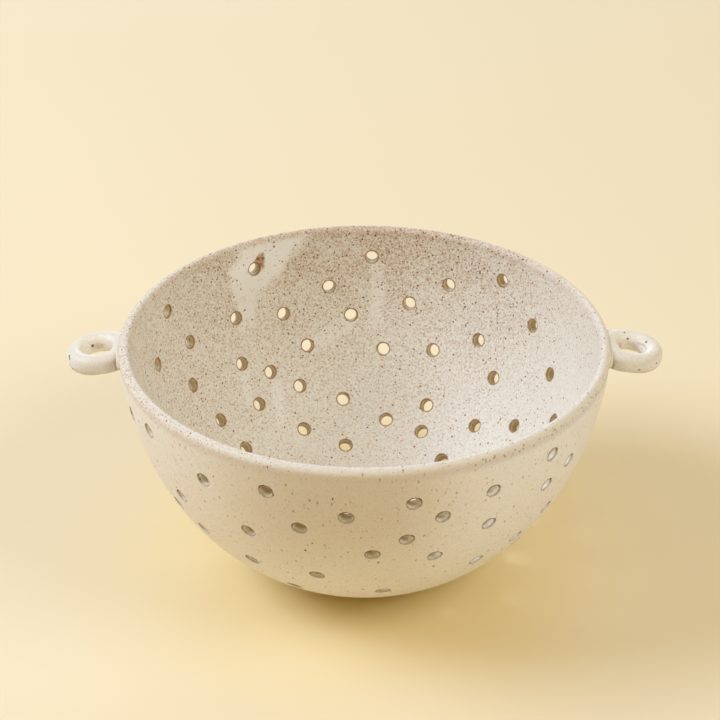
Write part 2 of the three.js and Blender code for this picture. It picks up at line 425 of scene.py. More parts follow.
def add_node(tree, kind, inputs=None, **settings):
    """A node with its settings, and its inputs given by name or number."""
    node = tree.nodes.new(kind)
    for name, value in settings.items():
        setattr(node, name, value)
    for key, value in (inputs or {}).items():
        feed(tree, node.inputs[key], value)
    return node


def calc(tree, operation, *values):
    """A math node's result."""
    node = add_node(tree, "ShaderNodeMath", operation=operation)
    for socket, value in zip(node.inputs, values):
        feed(tree, socket, value)
    return node.outputs[0]


def product(tree, *values):
    """Values multiplied together."""
    result = values[0]
    for value in values[1:]:
        result = calc(tree, "MULTIPLY", result, value)
    return result


def vector_calc(tree, operation, *values):
    """A vector math node's result."""
    node = add_node(tree, "ShaderNodeVectorMath", operation=operation)
    for socket, value in zip(node.inputs, values):
        feed(tree, socket, value)
    number = operation in ("DOT_PRODUCT", "DISTANCE", "LENGTH")
    return node.outputs["Value" if number else "Vector"]


def scaled(tree, vector, scale):
    node = add_node(tree, "ShaderNodeVectorMath", {"Vector": vector, "Scale": scale}, operation="SCALE")
    return node.outputs["Vector"]


def split(tree, vector):
    """A vector's numbers, by axis."""
    return add_node(tree, "ShaderNodeSeparateXYZ", {"Vector": vector}).outputs


def ramp(tree, value, low, high, to_low=0.0, to_high=1.0):
    """A smooth step of a value, from one bound to the other."""
    node = add_node(tree, "ShaderNodeMapRange", interpolation_type="SMOOTHSTEP")
    for key, number in enumerate((value, low, high, to_low, to_high)):
        feed(tree, node.inputs[key], number)
    return node.outputs[0]


def lay(tree, under, over, *factors):
    """One colour laid over another by the product of some factors."""
    node = add_node(tree, "ShaderNodeMix", data_type="RGBA")
    feed(tree, node.inputs[MIX_FACTOR], product(tree, *factors))
    feed(tree, node.inputs[MIX_UNDER], under)
    feed(tree, node.inputs[MIX_OVER], over)
    return node.outputs[MIX_RESULT]


def noise(tree, place, grain, detail):
    """Noise whose lumps are a grain across, from 0 to 1."""
    node = add_node(tree, "ShaderNodeTexNoise", {"Vector": place, "Scale": 1 / grain, "Detail": detail})
    return node.outputs["Fac"]


def swing(tree, place, grain, detail):
    """Noise that swings evenly to both sides of 0."""
    return calc(tree, "SUBTRACT", noise(tree, place, grain, detail), 0.5)


def new_group(name, kind, inputs, outputs):
    """A node group with named sockets, and its tree, its input node's sockets and its output node."""
    tree = bpy.data.node_groups.new(name, kind)
    for socket, socket_type in inputs:
        tree.interface.new_socket(socket, in_out="INPUT", socket_type="NodeSocket" + socket_type)
    for socket, socket_type in outputs:
        tree.interface.new_socket(socket, in_out="OUTPUT", socket_type="NodeSocket" + socket_type)
    given = tree.nodes.new("NodeGroupInput").outputs
    result = tree.nodes.new("NodeGroupOutput").inputs
    return tree, given, result


def place_group(tree, group, **values):
    """A copy of a group in a tree, with its inputs given by name, spaces as underscores."""
    kind = "ShaderNodeGroup" if tree.type == "SHADER" else "GeometryNodeGroup"
    node = add_node(tree, kind, node_tree=group)
    for name, value in values.items():
        feed(tree, node.inputs[name.replace("_", " ")], value)
    return node.outputs


# Geometry Nodes

def shape_group(name, inputs):
    """A group that makes geometry."""
    return new_group(name, "GeometryNodeTree", inputs, [("Geometry", "Geometry")])


def object_shape(tree, thing):
    return add_node(tree, "GeometryNodeObjectInfo", {"Object": thing}).outputs["Geometry"]


def cut_away(tree, mesh, cutter):
    """A mesh with another taken out of it."""
    cut = add_node(tree, "GeometryNodeMeshBoolean", operation="DIFFERENCE", solver="MANIFOLD")
    feed(tree, cut.inputs["Mesh 1"], mesh)
    feed(tree, cut.inputs["Mesh 2"], cutter)
    return cut.outputs["Mesh"]


def turning_group():
    """Points of radius and height, turned round the upright axis into a closed skin."""
    tree, given, result = shape_group("turning", [("Profile", "Object"), ("Segments", "Int")])
    profile = object_shape(tree, given["Profile"])
    rows = add_node(tree, "GeometryNodeAttributeDomainSize", {"Geometry": profile}).outputs["Point Count"]
    columns = calc(tree, "ADD", given["Segments"], 1)
    grid = add_node(tree, "GeometryNodeMeshGrid", {"Vertices X": columns, "Vertices Y": rows}).outputs["Mesh"]
    index = add_node(tree, "GeometryNodeInputIndex").outputs[0]
    row = calc(tree, "FLOORED_MODULO", index, rows)
    column = calc(tree, "FLOOR", calc(tree, "DIVIDE", calc(tree, "ADD", index, 0.5), rows))
    sample = add_node(tree, "GeometryNodeSampleIndex", data_type="FLOAT_VECTOR", domain="POINT")
    feed(tree, sample.inputs["Geometry"], profile)
    feed(tree, sample.inputs["Value"], add_node(tree, "GeometryNodeInputPosition").outputs[0])
    feed(tree, sample.inputs["Index"], row)
    point = split(tree, sample.outputs["Value"])
    turn = calc(tree, "DIVIDE", calc(tree, "MULTIPLY", column, 2 * math.pi), given["Segments"])
    place = add_node(tree, "ShaderNodeCombineXYZ", {
        "X": calc(tree, "MULTIPLY", point["X"], calc(tree, "COSINE", turn)),
        "Y": calc(tree, "MULTIPLY", point["X"], calc(tree, "SINE", turn)),
        "Z": point["Z"],
    }).outputs[0]
    turned = add_node(tree, "GeometryNodeSetPosition", {"Geometry": grid, "Position": place}).outputs[0]
    welded = add_node(tree, "GeometryNodeMergeByDistance", {"Geometry": turned, "Distance": WELD}).outputs[0]
    feed(tree, result["Geometry"], welded)
    return tree


def finish_tree(tree, result, mesh, glaze):
    """Real geometry, shaded smooth, with its material."""
    real = add_node(tree, "GeometryNodeRealizeInstances", {"Geometry": mesh}).outputs[0]
    smooth = add_node(tree, "GeometryNodeSetShadeSmooth", {"Geometry": real}).outputs[0]
    dressed = add_node(tree, "GeometryNodeSetMaterial", {"Geometry": smooth, "Material": glaze}).outputs[0]
    feed(tree, result["Geometry"], dressed)


def drilled_bowl_tree(turning):
    """The turned bowl, with a turned punch taken out of it at each hole."""
    tree, given, result = shape_group("drilled_bowl", [
        ("Bowl Profile", "Object"), ("Punch Profile", "Object"), ("Hole Places", "Object"),
        ("Bowl Segments", "Int"), ("Punch Sides", "Int"), ("Finish", "Material"),
    ])
    bowl = place_group(tree, turning, Profile=given["Bowl Profile"], Segments=given["Bowl Segments"])[0]
    punch = place_group(tree, turning, Profile=given["Punch Profile"], Segments=given["Punch Sides"])[0]
    places = object_shape(tree, given["Hole Places"])
    outward = add_node(tree, "GeometryNodeInputNamedAttribute", {"Name": "outward"}, data_type="FLOAT_VECTOR")
    turn = add_node(tree, "FunctionNodeAlignRotationToVector", {"Vector": outward.outputs[0]}, axis="Z")
    punches = add_node(tree, "GeometryNodeInstanceOnPoints", {
        "Points": places, "Instance": punch, "Rotation": turn.outputs[0]}).outputs[0]
    real = add_node(tree, "GeometryNodeRealizeInstances", {"Geometry": punches}).outputs[0]
    finish_tree(tree, result, cut_away(tree, bowl, real), given["Finish"])
    return tree


def turned_piece_tree(turning):
    """A piece that is only turned."""
    tree, given, result = shape_group("turned_piece", [
        ("Profile", "Object"), ("Segments", "Int"), ("Finish", "Material")])
    piece = place_group(tree, turning, Profile=given["Profile"], Segments=given["Segments"])[0]
    finish_tree(tree, result, piece, given["Finish"])
    return tree


def cut_piece_tree():
    """A piece with its neighbour taken out of it."""
    tree, given, result = shape_group("cut_piece", [
        ("Blank", "Object"), ("Cutter", "Object"), ("Finish", "Material")])
    cut = cut_away(tree, object_shape(tree, given["Blank"]), object_shape(tree, given["Cutter"]))
    finish_tree(tree, result, cut, given["Finish"])
    return tree


def made_by_nodes(name, tree, **values):
    """The plain mesh object that a tree makes from its inputs."""
    maker = bpy.data.objects.new(name + "_maker", bpy.data.meshes.new(name + "_maker"))
    bpy.context.scene.collection.objects.link(maker)
    modifier = maker.modifiers.new("maker", "NODES")
    modifier.node_group = tree
    for item in tree.interface.items_tree:
        key = item.name.replace(" ", "_")
        if item.in_out == "INPUT" and key in values:
            modifier[item.identifier] = values[key]
    depsgraph = bpy.context.evaluated_depsgraph_get()
    mesh = bpy.data.meshes.new_from_object(maker.evaluated_get(depsgraph))
    mesh.name = name
    bpy.data.objects.remove(maker)
    piece = bpy.data.objects.new(name, mesh)
    bpy.context.scene.collection.objects.link(piece)
    return piece


# Shapes of the wall

def wall_radius(drop):
    return RIM_RADIUS * (1 - (drop / WALL_REACH) ** DROP_POWER) ** (1 / ROUND_POWER)


def wall_normal(drop):
    """Outward direction of the wall, as radius and height."""
    radial = ROUND_POWER / RIM_RADIUS * (wall_radius(drop) / RIM_RADIUS) ** (ROUND_POWER - 1)
    downward = DROP_POWER / WALL_REACH * (drop / WALL_REACH) ** (DROP_POWER - 1)
    return Vector((radial, -downward)).normalized()


def wall_point(drop, offset=0.0):
    """A point of the wall as radius and height, moved out by an offset."""
    return Vector((wall_radius(drop), BOWL_HEIGHT - drop)) + offset * wall_normal(drop)


def wall_drops(first, last):
    """Drops down the wall, closer together where it turns under."""
    start = math.asin(first / WALL_REACH)
    end = math.asin(last / WALL_REACH)
    return [WALL_REACH * math.sin(start + (end - start) * i / WALL_STEPS) for i in range(WALL_STEPS + 1)]


def inner_drop_at(height):
    """The drop where the inner wall comes down to a height."""
    low, high = LIP_RADIUS, WALL_DROP
    middle = (low + high) / 2
    while low < middle < high:
        if wall_point(middle, -WALL).y > height:
            low = middle
        else:
            high = middle
        middle = (low + high) / 2
    return middle


def lip_arc():
    centre = Vector((wall_radius(LIP_RADIUS) - LIP_RADIUS, BOWL_HEIGHT - LIP_RADIUS))
    turns = [math.pi * i / LIP_STEPS for i in range(1, LIP_STEPS)]
    return [centre + LIP_RADIUS * Vector((math.cos(turn), math.sin(turn))) for turn in turns]


def floor_curve(blend_drop):
    """The inside floor, rounding from the wall to level at the axis."""
    start = wall_point(blend_drop, -WALL)
    normal = wall_normal(blend_drop)
    bend = Vector((start.x + (start.y - FLOOR_HEIGHT) * normal.y / normal.x, FLOOR_HEIGHT))
    end = Vector((0, FLOOR_HEIGHT))
    shares = [i / FLOOR_STEPS for i in range(1, FLOOR_STEPS + 1)]
    return [(1 - s) ** 2 * start + 2 * s * (1 - s) * bend + s * s * end for s in shares]


def bowl_profile():
    blend_drop = inner_drop_at(FLOOR_HEIGHT + FLOOR_BLEND)
    outer = [wall_point(drop) for drop in reversed(wall_drops(LIP_RADIUS, WALL_DROP))]
    base = [Vector((outer[0].x * i / BASE_STEPS, outer[0].y)) for i in range(BASE_STEPS)]
    inner = [wall_point(drop, -WALL) for drop in wall_drops(LIP_RADIUS, blend_drop)]
    return base + outer + lip_arc() + inner + floor_curve(blend_drop)


def punch_profile():
    """A hole's tube with softly rounded ends, a little longer than the wall is thick."""
    half = WALL / 2
    end = []
    for i in range(PUNCH_ROUND_STEPS + 1):
        turn = HOLE_ROUND_TURN * i / PUNCH_ROUND_STEPS
        radius = HOLE_RADIUS + HOLE_ROUND * (1 - math.cos(turn))
        end.append(Vector((radius, half - HOLE_ROUND * (1 - math.sin(turn)))))
    slope = Vector((math.sin(HOLE_ROUND_TURN), math.cos(HOLE_ROUND_TURN)))
    mouth = end[-1] + slope * (half + HOLE_OVERRUN - end[-1].y) / slope.y
    upper = end + [mouth, Vector((0, mouth.y))]
    lower = [Vector((point.x, -point.y)) for point in reversed(upper)]
    return lower + upper


def foot_profile():
    """The foot tapers a little, and its edges are rounded where it stands."""
    inner = FOOT_RADIUS - FOOT_WIDTH
    outer = FOOT_RADIUS - FOOT_TAPER
    turns = [math.pi / 2 * i / FOOT_ROUND_STEPS for i in range(FOOT_ROUND_STEPS + 1)]
    points = [Vector((inner, FOOT_TOP))]
    for turn in turns:
        points.append(Vector((inner + FOOT_ROUND * (1 - math.cos(turn)), FOOT_ROUND * (1 - math.sin(turn)))))
    for turn in turns:
        points.append(Vector((outer - FOOT_ROUND * (1 - math.sin(turn)), FOOT_ROUND * (1 - math.cos(turn)))))
    return points + [Vector((FOOT_RADIUS, FOOT_TOP)), Vector((inner, FOOT_TOP))]


def ring_profile():
    """A rolled ring's section, a little squarer than an ellipse."""
    points = []
    for i in range(RING_SECTION_STEPS + 1):
        turn = 2 * math.pi * i / RING_SECTION_STEPS
        across = math.copysign(abs(math.cos(turn)) ** (2 / RING_POWER), math.cos(turn))
        along = math.copysign(abs(math.sin(turn)) ** (2 / RING_POWER), math.sin(turn))
        points.append(Vector((RING_RADIUS + RING_WIDTH / 2 * across, RING_HEIGHT / 2 * along)))
    return points


def rolled_by_hand(mesh, side, arm_swell, tip_swell):
    """Thin a ring a little along its roll, swell it into its hole, and spread it where it meets the wall."""
    for vertex in mesh.vertices:
        turn = math.atan2(vertex.co.y, vertex.co.x)
        middle = Vector((math.cos(turn), math.sin(turn), 0)) * RING_RADIUS
        lumps = math.sin(2 * turn + side) + math.sin(3 * turn - 2 * side)
        vertex.co = middle + (vertex.co - middle) * (1 - RING_UNEVEN * (1 - lumps / 2))
        across = vertex.co.xy.length - RING_RADIUS
        if across < 0:
            swell = arm_swell * math.sin(turn) ** 2 + tip_swell * math.cos(turn) ** 2
            vertex.co += middle.normalized() * across * swell
        inward = max(-side * vertex.co.x / RING_OUT, 0)
        vertex.co.y *= 1 + RING_ROOT_SPREAD * inward ** 2


def ring_place(side, drop):
    """Where a ring's middle lies and how it droops, as a matrix."""
    centre = Vector((side * (wall_radius(drop) + RING_OUT), 0, BOWL_HEIGHT - drop))
    return Matrix.Translation(centre) @ Matrix.Rotation(side * RING_DROOP, 4, "Y")


def hole_places():
    """Each drain hole's middle and its outward direction."""
    places = []
    for bearing, share in (hole for ring in DRAIN_HOLE_RINGS for hole in ring):
        drop = share / 100 * BOWL_HEIGHT
        middle = wall_point(drop, -WALL / 2)
        normal = wall_normal(drop)
        out = Vector((math.cos(math.radians(bearing)), math.sin(math.radians(bearing)), 0))
        up = Vector((0, 0, 1))
        places.append((out * middle.x + up * middle.y, out * normal.x + up * normal.y))
    height = FOOT_HEIGHT + FLOOR_THICKNESS / 2
    down = Vector((0, 0, -1))
    places.append((Vector((0, 0, height)), down))
    for i in range(FLOOR_HOLE_COUNT):
        turn = 2 * math.pi * i / FLOOR_HOLE_COUNT
        out = Vector((math.cos(turn), math.sin(turn), 0)) * FLOOR_HOLE_RING
        places.append((out + Vector((0, 0, height)), down))
    return places


def profile_object(name, points):
    """Points of radius and height, as loose vertices in order."""
    mesh = bpy.data.meshes.new(name)
    mesh.from_pydata([(point.x, 0, point.y) for point in points], [], [])
    return bpy.data.objects.new(name, mesh)


def places_object(places):
    mesh = bpy.data.meshes.new("hole_places")
    mesh.from_pydata([middle for middle, outward in places], [], [])
    outward = mesh.attributes.new("outward", "FLOAT_VECTOR", "POINT")
    outward.data.foreach_set("vector", [number for middle, direction in places for number in direction])
    return bpy.data.objects.new("hole_places", mesh)


# Marks that the finishes read, stored at each point in millimetres

def mesh_points(mesh):
    points = np.empty(len(mesh.vertices) * 3)
    mesh.vertices.foreach_get("co", points)
    return points.reshape(-1, 3)


def store(mesh, name, values):
    attribute = mesh.attributes.new(name, "FLOAT", "POINT")
    attribute.data.foreach_set("value", (values / MM).astype(np.float32))


def mark_holes(mesh, places, span):
    """How far each point is from the axis of the nearest hole, within a span along it, and how far above."""
    points = mesh_points(mesh)
    nearest = np.full(len(points), BOWL_HEIGHT)
    rise = np.zeros(len(points))
    for middle, outward in places:
        away = points - np.array(middle)
        along = away @ np.array(outward)
        across = away - along[:, None] * np.array(outward)
        reach = np.sqrt((across ** 2).sum(1))
        reach[np.abs(along) > span] = BOWL_HEIGHT
        nearer = reach < nearest
        rise[nearer] = across[nearer, 2]
        nearest[nearer] = reach[nearer]
    store(mesh, "hole_reach", nearest)
    store(mesh, "hole_rise", rise)


def mark_wall(mesh):
    """How far each point lies from the bowl's outer face."""
    points = mesh_points(mesh)
    place = np.stack([np.hypot(points[:, 0], points[:, 1]), points[:, 2]], 1)
    face = np.array([wall_point(drop) for drop in wall_drops(LIP_RADIUS, WALL_DROP)])
    nearest = np.abs(points[:, 2] - FOOT_HEIGHT)
    for start, end in zip(face[:-1], face[1:]):
        along = np.clip((place - start) @ (end - start) / ((end - start) ** 2).sum(), 0, 1)
        away = place - start - along[:, None] * (end - start)
        nearest = np.minimum(nearest, np.hypot(away[:, 0], away[:, 1]))
    store(mesh, "wall_reach", nearest)


# Pieces

def bowl_piece(turning, finish):
    places = hole_places()
    bowl = made_by_nodes("thrown_bowl", drilled_bowl_tree(turning),
                         Bowl_Profile=profile_object("bowl_profile", bowl_profile()),
                         Punch_Profile=profile_object("punch_profile", punch_profile()),
                         Hole_Places=places_object(places), Bowl_Segments=BOWL_SEGMENTS,
                         Punch_Sides=PUNCH_SIDES, Finish=finish)
    mark_holes(bowl.data, places, WALL)
    mark_wall(bowl.data)
    return bowl


def wall_body(turning):
    """What the bowl's outside encloses, to trim what is luted on to it."""
    outer = [wall_point(drop) for drop in reversed(wall_drops(LIP_RADIUS, WALL_DROP))]
    points = [Vector((0, outer[0].y))] + outer + lip_arc()[:LIP_STEPS // 2] + [Vector((0, BOWL_HEIGHT))]
    return made_by_nodes("wall_body", turned_piece_tree(turning), Segments=BOWL_SEGMENTS,
                         Profile=profile_object("wall_profile", points))


def ring_blank(turning, side, drop, swells):
    blank = made_by_nodes("ring_blank", turned_piece_tree(turning),
                          Profile=profile_object("ring_profile", ring_profile()), Segments=RING_SEGMENTS)
    rolled_by_hand(blank.data, side, *swells)
    blank.data.transform(ring_place(side, drop))
    return blank


def close_skin(mesh):
    """Weld doubled points and turn all faces outwards."""
    skin = bmesh.new()
    skin.from_mesh(mesh)
    bmesh.ops.remove_doubles(skin, verts=skin.verts, dist=WELD)
    bmesh.ops.recalc_face_normals(skin, faces=skin.faces)
    skin.to_mesh(mesh)
    skin.free()


def bead_layers(side, ring_drop):
    """Rings of points over a pad of slip and under it, from its middle to its edge."""
    root_drop = ring_drop - RING_OUT * math.tan(RING_DROOP)
    half_chord = math.sqrt((RING_RADIUS + RING_WIDTH / 2) ** 2 - RING_OUT ** 2)
    half_width = half_chord * (1 + RING_ROOT_SPREAD) + BEAD_MARGIN
    half_height = RING_HEIGHT / 2 + BEAD_MARGIN
    top, bottom = [], []
    for ring in range(BEAD_RINGS + 1):
        rounding = math.pi / 2 * ring / BEAD_RINGS
        share = math.sin(rounding)
        swell = BEAD_FEATHER + BEAD_DEPTH * math.cos(rounding)
        for spoke in range(BEAD_SPOKES):
            turn = 2 * math.pi * spoke / BEAD_SPOKES
            drop = max(root_drop - half_height * share * math.sin(turn), LIP_RADIUS)
            across = half_width * share * math.cos(turn)
            bearing = across / wall_radius(drop)
            for layer, offset in ((top, swell), (bottom, 0)):
                point = wall_point(drop, offset)
                layer.append((side * point.x * math.cos(bearing), point.x * math.sin(bearing), point.y))
    return top, bottom


def bead_faces():
    """Faces over and under a pad of slip, and round its edge."""
    count = (BEAD_RINGS + 1) * BEAD_SPOKES
    faces = []
    for ring in range(BEAD_RINGS):
        for spoke in range(BEAD_SPOKES):
            a = ring * BEAD_SPOKES + spoke
            b = ring * BEAD_SPOKES + (spoke + 1) % BEAD_SPOKES
            c, d = b + BEAD_SPOKES, a + BEAD_SPOKES
            faces.append((a, b, c, d))
            faces.append((count + d, count + c, count + b, count + a))
    edge = BEAD_RINGS * BEAD_SPOKES
    for spoke in range(BEAD_SPOKES):
        a, b = edge + spoke, edge + (spoke + 1) % BEAD_SPOKES
        faces.append((a, b, count + b, count + a))
    return faces


def bead_blank(side, ring_drop):
    """A pad of slip on the wall, rounded over at its edge."""
    top, bottom = bead_layers(side, ring_drop)
    mesh = bpy.data.meshes.new("bead_blank")
    mesh.from_pydata(top + bottom, [], bead_faces())
    close_skin(mesh)
    return bpy.data.objects.new("bead_blank", mesh)


def handle_pieces(turning, side, drop, swells, word, wall, ring_finish, slip_finish):
    """One ring, trimmed to the wall, and the slip round its joint."""
    blank = ring_blank(turning, side, drop, swells)
    pad = bead_blank(side, drop)
    ring = made_by_nodes("ring_" + word, cut_piece_tree(), Blank=blank, Cutter=wall, Finish=ring_finish)
    blank.data.transform(Matrix.Translation((0, 0, -CREASE)))
    bead = made_by_nodes("slip_" + word, cut_piece_tree(), Blank=pad, Cutter=blank, Finish=slip_finish)
    bpy.data.objects.remove(blank)
    place = ring_place(side, drop)
    axis = [(place.translation, place.to_3x3() @ Vector((0, 0, 1)))]
    for piece in (ring, bead):
        mark_holes(piece.data, axis, RING_HEIGHT)
        mark_wall(piece.data)
    return ring, bead


# Effects that more than one finish uses

def effect_group(name, vectors, numbers, output="Mask"):
    """A shader node group that makes one number from vectors and numbers."""
    inputs = [(socket, "Vector") for socket in vectors] + [(socket, "Float") for socket in numbers]
    return new_group(name, "ShaderNodeTree", inputs, [(output, "Float")])


def drop_below_rim(tree, place):
    return calc(tree, "SUBTRACT", BOWL_HEIGHT / MM, split(tree, place)["Z"])


def frayed(tree, place, fray):
    """A factor that makes an edge ragged."""
    return calc(tree, "MULTIPLY_ADD", noise(tree, place, FRAY_GRAIN, SMOOTH), *fray)


def iron_specks_group():
    """Iron specks of many sizes, as lumps in the glaze that show where the surface cuts them."""
    tree, given, result = effect_group("iron_specks", ["Place"], ["Spacing", "Size", "Share", "Seed"])
    seeds = add_node(tree, "ShaderNodeCombineXYZ", {axis: given["Seed"] for axis in "XYZ"}).outputs[0]
    spaced = scaled(tree, given["Place"], calc(tree, "DIVIDE", 1, given["Spacing"]))
    cells = vector_calc(tree, "ADD", spaced, seeds)
    lumps = add_node(tree, "ShaderNodeTexVoronoi", {"Vector": cells, "Scale": 1}).outputs
    chance = add_node(tree, "ShaderNodeSeparateColor", {"Color": lumps["Color"]}).outputs
    distance = product(tree, lumps["Distance"], given["Spacing"], frayed(tree, given["Place"], SPECK_FRAY))
    radius = calc(tree, "MULTIPLY", given["Size"], calc(tree, "MULTIPLY_ADD", chance["Red"], *SPECK_SPREAD))
    shape = ramp(tree, distance, radius, calc(tree, "MULTIPLY", radius, SPECK_CORE))
    shown = calc(tree, "LESS_THAN", chance["Green"], given["Share"])
    feed(tree, result["Mask"], calc(tree, "MULTIPLY", shape, shown))
    return tree


def iron_spot_group():
    """One ragged iron spot at a given place."""
    tree, given, result = effect_group("iron_spot", ["Place", "Centre"], ["Size"])
    away = vector_calc(tree, "DISTANCE", given["Place"], given["Centre"])
    distance = calc(tree, "MULTIPLY", away, frayed(tree, given["Place"], SPOT_FRAY))
    core = calc(tree, "MULTIPLY", given["Size"], SPOT_CORE)
    feed(tree, result["Mask"], ramp(tree, distance, given["Size"], core))
    return tree


def glaze_run_group():
    """A soft-edged run down the wall from a place under the lip, which may lean to one side."""
    tree, given, result = effect_group("glaze_run", ["Place"], [
        "Bearing", "Top", "Length", "Top Width", "End Width", "Lean"])
    turn = calc(tree, "MULTIPLY", given["Bearing"], -math.pi / 180)
    turned = add_node(tree, "ShaderNodeVectorRotate", {"Vector": given["Place"], "Angle": turn},
                      rotation_type="Z_AXIS").outputs[0]
    point = split(tree, turned)
    below = calc(tree, "SUBTRACT", drop_below_rim(tree, turned), given["Top"])
    share = calc(tree, "DIVIDE", below, given["Length"])
    narrowing = calc(tree, "SUBTRACT", given["End Width"], given["Top Width"])
    width = calc(tree, "MULTIPLY_ADD", narrowing, share, given["Top Width"])
    wander = product(tree, swing(tree, given["Place"], RUN_WANDER_GRAIN, ROUGH),
                     calc(tree, "MULTIPLY", width, RUN_WANDER))
    sideways = calc(tree, "SUBTRACT", point["Y"], calc(tree, "MULTIPLY", given["Lean"], below))
    offset = calc(tree, "ABSOLUTE", calc(tree, "ADD", sideways, wander))
    side = ramp(tree, offset, *(calc(tree, "MULTIPLY", width, bound) for bound in RUN_SIDE))
    start = ramp(tree, below, *RUN_START)
    end = ramp(tree, share, *RUN_END)
    near = calc(tree, "GREATER_THAN", point["X"], 0)
    feed(tree, result["Mask"], product(tree, side, start, end, near))
    return tree


def hole_rust_group():
    """The iron that gathers in a broken line round a hole's edge."""
    tree, given, result = effect_group("hole_rust", ["Place"], ["Reach", "Edge", "Width"])
    away = calc(tree, "ABSOLUTE", calc(tree, "SUBTRACT", given["Reach"], given["Edge"]))
    line = ramp(tree, away, given["Width"], calc(tree, "MULTIPLY", given["Width"], RUST_CORE))
    broken = ramp(tree, noise(tree, given["Place"], RUST_GRAIN, ROUGH), *RUST_LEVELS)
    feed(tree, result["Mask"], product(tree, line, calc(tree, "MULTIPLY_ADD", broken, *RUST_BREAKS)))
    return tree


def glaze_skin_group():
    """The height of a glaze's skin: the potter's fingers under it, and its own fine ripple."""
    tree, given, result = effect_group("glaze_skin", ["Place"], ["Throwing", "Ripple"], "Height")
    place = given["Place"]
    drift = calc(tree, "MULTIPLY", noise(tree, place, THROWING_DRIFT_GRAIN, SOFT), THROWING_DRIFT)
    rings = calc(tree, "SINE", calc(tree, "MULTIPLY_ADD", split(tree, place)["Z"], THROWING_PITCH, drift))
    broad = swing(tree, place, FINGER_GRAIN, SMOOTH)
    fingers = product(tree, calc(tree, "MULTIPLY_ADD", rings, THROWING_SHARE, broad), given["Throwing"])
    fine = swing(tree, place, RIPPLE_GRAIN, ROUGH)
    feed(tree, result["Height"], calc(tree, "MULTIPLY_ADD", fine, given["Ripple"], fingers))
    return tree


def shared_effects():
    return {"specks": iron_specks_group(), "spot": iron_spot_group(), "run": glaze_run_group(),
            "rust": hole_rust_group(), "skin": glaze_skin_group()}


# The effects as a finish uses them

def run_mask(tree, effects, place, row):
    bearing, top, length, top_width, end_width, lean, tint = row
    run = place_group(tree, effects["run"], Place=place, Bearing=bearing, Top=top, Length=length,
                      Top_Width=top_width, End_Width=end_width, Lean=lean)["Mask"]
    return calc(tree, "MULTIPLY", run, tint)


def speck_mask(tree, effects, place, spacing, size, share, seed):
    return place_group(tree, effects["specks"], Place=place, Spacing=spacing, Size=size, Share=share,
                       Seed=seed)["Mask"]


def rust_mask(tree, effects, place, reach, edge, width):
    return place_group(tree, effects["rust"], Place=place, Reach=reach, Edge=edge, Width=width)["Mask"]


def skin_height(tree, effects, place, throwing, ripple):
    return place_group(tree, effects["skin"], Place=place, Throwing=throwing, Ripple=ripple)["Height"]


def fine_grain(tree, place):
    return ramp(tree, noise(tree, place, GRAIN, SOFT), *GRAIN_LEVELS)


# Finishes

def new_material(name):
    material = bpy.data.materials.new(name)
    material.use_nodes = True
    tree = material.node_tree
    shader = tree.nodes["Principled BSDF"]
    shader.inputs["Specular IOR Level"].default_value = GLAZE_SHINE
    return material, tree, shader


def place_in_mm(tree):
    place = add_node(tree, "ShaderNodeTexCoord").outputs["Object"]
    return scaled(tree, place, 1 / MM)


def mark(tree, name):
    return add_node(tree, "ShaderNodeAttribute", attribute_name=name).outputs["Fac"]


def towards(tree, place, bearing):
    """How squarely a place lies towards a bearing, from -1 to 1."""
    turn = math.radians(bearing)
    flat = vector_calc(tree, "NORMALIZE", vector_calc(tree, "MULTIPLY", place, (1, 1, 0)))
    return vector_calc(tree, "DOT_PRODUCT", flat, (math.cos(turn), math.sin(turn), 0))


def inverse(tree, value):
    return calc(tree, "SUBTRACT", 1, value)


def bump(tree, shader, height):
    """Let a height in millimetres tilt the surface."""
    node = add_node(tree, "ShaderNodeBump", {"Strength": 1, "Distance": MM, "Height": height})
    feed(tree, shader.inputs["Normal"], node.outputs["Normal"])


def all_runs(tree, effects, place):
    """Every run of thick glaze in one mask."""
    runs = run_mask(tree, effects, place, GLAZE_RUNS[0])
    for row in GLAZE_RUNS[1:]:
        runs = calc(tree, "MAXIMUM", runs, run_mask(tree, effects, place, row))
    return runs


